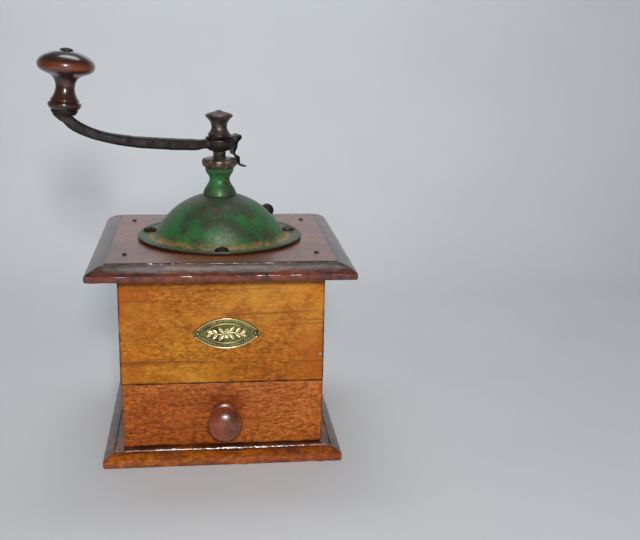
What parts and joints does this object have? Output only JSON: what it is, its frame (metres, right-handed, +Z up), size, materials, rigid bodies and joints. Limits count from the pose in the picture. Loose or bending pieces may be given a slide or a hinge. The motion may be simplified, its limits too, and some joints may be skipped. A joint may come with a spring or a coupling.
{
  "type": "hand crank coffee grinder",
  "caption": "Wooden box coffee mill with moulded boards, a drawer, a sheet-metal hopper dome with a sliding hatch, and an iron crank with a turned wooden knob.",
  "frame": {"origin": "centre of the base board's underside", "axes": "+Z up along the crank's spindle, the drawer faces -Y, +X to the right of a person facing the drawer"},
  "size_m": [0.1868, 0.1634, 0.2502],
  "materials": {
    "golden_beech": "waxed beech, satin",
    "red_brown_wood": "stained and varnished, satin",
    "worn_board": "varnish worn to grey-brown wood",
    "dark_varnish": "dark glossy varnish",
    "plain_wood": "bare planed wood",
    "green_paint": "green enamel worn to dark metal",
    "dark_iron": "dark burnished iron",
    "worn_steel": "dull steel",
    "aged_brass": "pressed brass, tarnished green"
  },
  "bodies": {
    "case": {"base_board": "red_brown_wood", "top_board": "worn_board", "front_panel": "golden_beech", "rear_panel": "golden_beech", "left_side": "golden_beech", "right_side": "golden_beech", "top_nail_1": "dark_iron", "top_nail_2": "dark_iron", "top_nail_3": "dark_iron", "top_nail_4": "dark_iron", "front_brad": "worn_steel", "base_screw_1": "worn_steel", "base_screw_2": "worn_steel", "base_screw_3": "worn_steel", "base_screw_4": "worn_steel", "badge_plate": "aged_brass", "badge_pin_1": "aged_brass", "badge_pin_2": "aged_brass", "hopper_dome": "green_paint", "dome_screw_1": "dark_iron", "dome_screw_2": "dark_iron", "dome_screw_3": "dark_iron", "dome_screw_4": "dark_iron", "neck_bearing": "green_paint", "hatch_washer": "worn_steel", "burr_housing": "dark_iron", "housing_screw_1": "worn_steel", "housing_screw_2": "worn_steel", "housing_screw_3": "worn_steel", "ring_burr": "dark_iron", "bearing_stirrup": "dark_iron", "stirrup_screw_1": "worn_steel", "stirrup_screw_2": "worn_steel"},
    "adjusting_nut": {"adjusting_nut": "dark_iron"},
    "burr_washer": {"burr_washer": "worn_steel"},
    "spindle": {"spindle_shaft": "dark_iron", "cone_burr": "dark_iron", "burr_nut": "worn_steel", "crank_arm": "dark_iron", "clip_plate": "dark_iron", "finial_nut": "dark_iron", "knob_spindle": "worn_steel"},
    "clip_leaf": {"clip_leaf": "dark_iron"},
    "knob": {"crank_knob": "dark_varnish", "knob_ferrule": "dark_iron"},
    "drawer": {"drawer_front": "red_brown_wood", "drawer_left": "plain_wood", "drawer_right": "plain_wood", "drawer_back": "plain_wood", "drawer_bottom": "plain_wood", "drawer_knob": "dark_varnish"},
    "hatch": {"filler_hatch": "green_paint", "hatch_knob": "dark_iron"}
  },
  "joints": [
    {"name": "crank_turn", "type": "hinge", "parent": "case", "child": "adjusting_nut", "pos_m": [0, 0, 0.173], "axis": [0, 0, 1], "continuous": true},
    {"name": "shaft_lift", "type": "slide", "parent": "adjusting_nut", "child": "burr_washer", "axis": [0, 0, 1], "range_m": [-0.0012, 0.0006]},
    {"name": "grind_adjust", "type": "hinge", "parent": "burr_washer", "child": "spindle", "pos_m": [0, 0, 0.178], "axis": [0, 0, 1], "range_deg": [-370, 195]},
    {"name": "clip_lift", "type": "hinge", "parent": "spindle", "child": "clip_leaf", "pos_m": [0.01103, 0.00359, 0.195], "axis": [0.309, -0.9511, 0], "range_deg": [0, 12], "stiffness_Nm_per_rad": 0.5},
    {"name": "knob_spin", "type": "hinge", "parent": "spindle", "child": "knob", "pos_m": [-0.09244, -0.03004, 0.2112], "axis": [0.0845, 0.0275, 0.996], "continuous": true},
    {"name": "drawer_slide", "type": "slide", "parent": "case", "child": "drawer", "axis": [0, -1, 0], "range_m": [0, 0.105]},
    {"name": "hatch_slide", "type": "hinge", "parent": "case", "child": "hatch", "pos_m": [0, 0, 0.1123], "axis": [0, 0, 1], "range_deg": [0, 66]}
  ],
  "couplings": [
    {"joint": "grind_adjust", "follows": "shaft_lift", "rad_per_m": 5026.6}
  ]
}
